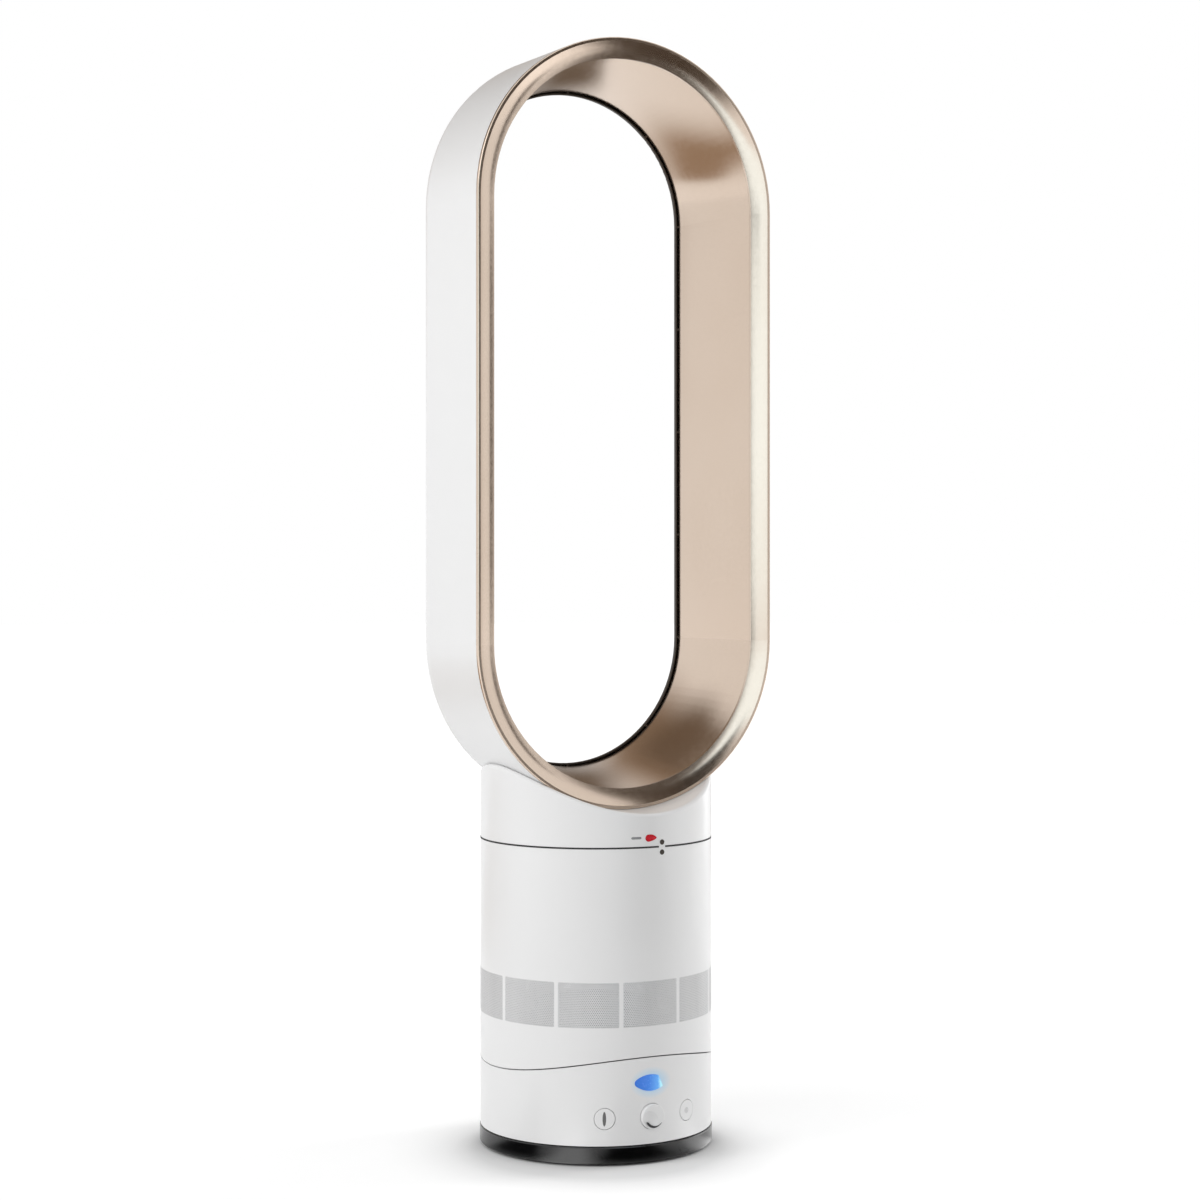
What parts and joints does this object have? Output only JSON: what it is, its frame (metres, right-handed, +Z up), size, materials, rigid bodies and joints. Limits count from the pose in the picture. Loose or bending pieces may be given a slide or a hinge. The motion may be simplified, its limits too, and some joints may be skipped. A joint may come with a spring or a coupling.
{
  "type": "bladeless fan",
  "caption": "Bladeless tower fan: tall oval loop nozzle on a white cylinder with inlet band, tilting body, swinging base, dial, two buttons and black foot.",
  "frame": {"origin": "on the floor below the middle of the round foot", "axes": "+Z up, -Y to the front, where the controls are and the air comes out, +X to the fan's own left"},
  "size_m": [0.212, 0.1529, 0.71],
  "materials": {
    "ballast_iron": "black coated",
    "black_gloss": "gloss black",
    "blue_lens": "lit translucent blue",
    "champagne": "satin champagne metallic",
    "circuit_green": "solder-resist satin",
    "clear_guide": "clear acrylic",
    "copper_winding": "enamelled copper",
    "dark_bush": "satin",
    "foam_grey": "open-cell foam",
    "grey_inner": "satin",
    "led_white": "clear",
    "magnet_black": "sintered",
    "mesh_grey": "fine perforated, satin grey",
    "motor_aluminium": "die cast",
    "natural_nylon": "natural",
    "red_lens": "gloss red",
    "rubber_black": "matt",
    "slot_black": "satin black",
    "steel": "bright",
    "white_gloss": "gloss moulded white",
    "white_inner": "satin",
    "white_moving": "gloss moulded white",
    "zinc_screw": "zinc plated"
  },
  "bodies": {
    "foot": {"foot_tray": "black_gloss", "rubber_pads": "rubber_black", "ballast_ring": "ballast_iron", "pivot_post": "natural_nylon", "retaining_clip": "steel", "slide_ring": "natural_nylon", "power_inlet": "dark_bush", "foot_screws": "zinc_screw", "sector_gear": "natural_nylon"},
    "turntable": {"turntable_plate": "grey_inner", "hub_bush": "natural_nylon", "turntable_screws": "zinc_screw", "control_shell": "white_gloss", "cradle_deck": "white_inner", "switch_carrier": "white_inner", "button_switches": "dark_bush", "dial_encoder": "steel", "status_lens": "blue_lens", "light_guide": "clear_guide", "status_led": "led_white", "control_board": "circuit_green", "oscillation_motor": "steel"},
    "pinion": {"drive_pinion": "natural_nylon"},
    "power_key": {"power_button": "white_moving"},
    "oscillation_key": {"oscillation_button": "white_moving"},
    "dial": {"speed_dial": "white_moving"},
    "upper_body": {"main_shell": "white_gloss", "rocker_plate": "white_inner", "tilt_rails": "natural_nylon", "upper_body_screws": "zinc_screw", "cable_guide": "rubber_black", "inlet_mesh": "mesh_grey", "mesh_clamp": "white_inner", "driver_board": "circuit_green", "board_cover": "grey_inner", "silencer_foam": "foam_grey", "impeller_housing": "grey_inner", "isolation_ring": "rubber_black", "diffuser": "grey_inner", "bucket_cap": "grey_inner", "motor_frame": "motor_aluminium", "motor_end_cap": "motor_aluminium", "motor_bearings": "steel", "motor_stator": "steel", "motor_windings": "copper_winding", "seam_gasket": "rubber_black", "loop_collar": "white_gloss", "neck_duct": "white_inner", "duct_seal": "rubber_black", "loop_outer_shell": "white_gloss", "loop_inner_shell": "champagne", "loop_front_rim": "champagne", "slot_lip": "slot_black", "slot_spacers": "slot_black", "seam_clip": "slot_black", "beacon_lens": "red_lens"},
    "rotor": {"impeller": "grey_inner", "impeller_nut": "zinc_screw", "motor_shaft": "steel", "rotor_magnet": "magnet_black"}
  },
  "joints": [
    {"name": "oscillation", "type": "hinge", "parent": "foot", "child": "turntable", "pos_m": [0, 0, 0.0129], "axis": [0, 0, 1], "range_deg": [-35, 35]},
    {"name": "pinion_spin", "type": "hinge", "parent": "turntable", "child": "pinion", "pos_m": [0, 0.04, 0.008], "axis": [0, 0, 1], "range_deg": [-145, 145]},
    {"name": "tilt", "type": "hinge", "parent": "turntable", "child": "upper_body", "pos_m": [0, 0, 0.304], "axis": [1, 0, 0], "range_deg": [-10, 10]},
    {"name": "impeller_spin", "type": "hinge", "parent": "upper_body", "child": "rotor", "pos_m": [0, 0, 0.15], "axis": [0, 0, 1], "continuous": true},
    {"name": "power_press", "type": "slide", "parent": "turntable", "child": "power_key", "axis": [0.4019, 0.9157, 0], "range_m": [0, 0.001], "stiffness_N_per_m": 2500},
    {"name": "oscillation_press", "type": "slide", "parent": "turntable", "child": "oscillation_key", "axis": [-0.3746, 0.9272, 0], "range_m": [0, 0.001], "stiffness_N_per_m": 2500},
    {"name": "dial_turn", "type": "hinge", "parent": "turntable", "child": "dial", "pos_m": [0, -0.07, 0.0297], "axis": [0, -1, 0], "range_deg": [0, 270]}
  ],
  "couplings": [
    {"joint": "pinion_spin", "follows": "oscillation", "ratio": 4}
  ]
}
